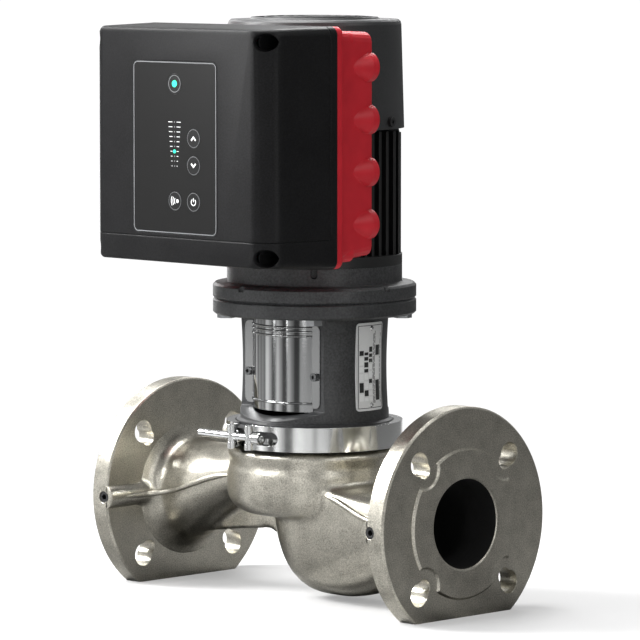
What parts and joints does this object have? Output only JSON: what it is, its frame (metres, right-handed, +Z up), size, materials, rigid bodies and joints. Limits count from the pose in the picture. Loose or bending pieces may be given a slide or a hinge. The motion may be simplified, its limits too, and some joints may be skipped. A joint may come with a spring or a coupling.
{
  "type": "inline centrifugal pump",
  "caption": "Inline centrifugal water pump: cast housing with two pipe flanges, V-band clamp, motor stool, finned motor with fan cover and a wall-like controller with an operating panel.",
  "frame": {"origin": "on the floor in the middle of the footprint; the vertical shaft axis is 30.75 mm behind it, at X 0", "axes": "+X along the pipe towards the suction flange, -Y the controller's front, +Z up along the shaft"},
  "size_m": [0.34, 0.2468, 0.4708],
  "materials": {
    "cast_stainless": "bead-blasted",
    "polished_stainless": "polished",
    "black_casting": "satin black paint",
    "charcoal_casting": "coated casting",
    "aluminium": "die cast",
    "black_plastic": "fine textured",
    "panel_film": "satin film",
    "red_casting": "satin red paint",
    "steel": "turned",
    "brass": "turned",
    "rubber": "matt",
    "copper_winding": "lacquered wire",
    "board": "solder mask",
    "light": "clear lens"
  },
  "bodies": {
    "pump": {"pump_housing": "cast_stainless", "clamp_strap": "polished_stainless", "clamp_segments": "polished_stainless", "clamp_trunnions": "polished_stainless", "clamp_bolt": "polished_stainless", "guard_front": "polished_stainless", "guard_rear": "polished_stainless", "guard_screws": "polished_stainless", "nameplate_rivets": "polished_stainless", "pump_head": "polished_stainless", "motor_stool": "charcoal_casting", "stator_housing": "black_casting", "rear_shield": "black_casting", "end_shield": "black_casting", "front_cover": "black_plastic", "fan_cover": "black_plastic", "capacitors": "black_plastic", "operating_panel": "panel_film", "controller_housing": "red_casting", "gauge_plugs": "steel", "flange_bolts": "steel", "fan_cover_screws": "steel", "controller_bolts": "steel", "cover_screws": "steel", "bearing_outer_rings": "steel", "stator_core": "steel", "wear_ring": "brass", "head_o_ring": "rubber", "seal_seat": "rubber", "controller_gasket": "rubber", "cable_plugs": "rubber", "stator_windings": "copper_winding", "panel_board": "board", "power_board": "board", "terminal_block": "board", "status_light": "light", "nameplate": "aluminium"},
    "rotor": {"motor_shaft": "steel", "rotor_core": "steel", "cooling_fan": "black_plastic", "bearing_inner_rings": "steel", "shaft_seal_ring": "rubber", "coupling_half_left": "steel", "coupling_half_right": "steel", "coupling_screws": "steel", "pump_shaft": "steel", "seal_ring": "rubber", "seal_spring": "polished_stainless", "impeller": "polished_stainless", "impeller_nut": "polished_stainless"},
    "drive_end_balls": {"ball_cage_drive_end": "steel"},
    "fan_end_balls": {"ball_cage_fan_end": "steel"},
    "key_up": {"button_up": "panel_film"},
    "key_down": {"button_down": "panel_film"},
    "key_wireless": {"button_wireless": "panel_film"},
    "key_power": {"button_power": "panel_film"}
  },
  "joints": [
    {"name": "rotor_spin", "type": "hinge", "parent": "pump", "child": "rotor", "pos_m": [0, 0.03075, 0.25], "axis": [0, 0, 1], "continuous": true},
    {"name": "drive_end_balls_spin", "type": "hinge", "parent": "pump", "child": "drive_end_balls", "pos_m": [0, 0.03075, 0.257], "axis": [0, 0, 1], "continuous": true},
    {"name": "fan_end_balls_spin", "type": "hinge", "parent": "pump", "child": "fan_end_balls", "pos_m": [0, 0.03075, 0.3875], "axis": [0, 0, 1], "continuous": true},
    {"name": "key_up_press", "type": "slide", "parent": "pump", "child": "key_up", "axis": [0, 1, 0], "range_m": [0, 0.0008], "stiffness_N_per_m": 900},
    {"name": "key_down_press", "type": "slide", "parent": "pump", "child": "key_down", "axis": [0, 1, 0], "range_m": [0, 0.0008], "stiffness_N_per_m": 900},
    {"name": "key_wireless_press", "type": "slide", "parent": "pump", "child": "key_wireless", "axis": [0, 1, 0], "range_m": [0, 0.0008], "stiffness_N_per_m": 900},
    {"name": "key_power_press", "type": "slide", "parent": "pump", "child": "key_power", "axis": [0, 1, 0], "range_m": [0, 0.0008], "stiffness_N_per_m": 900}
  ],
  "couplings": [
    {"joint": "drive_end_balls_spin", "follows": "rotor_spin", "ratio": 0.408},
    {"joint": "fan_end_balls_spin", "follows": "rotor_spin", "ratio": 0.412}
  ]
}
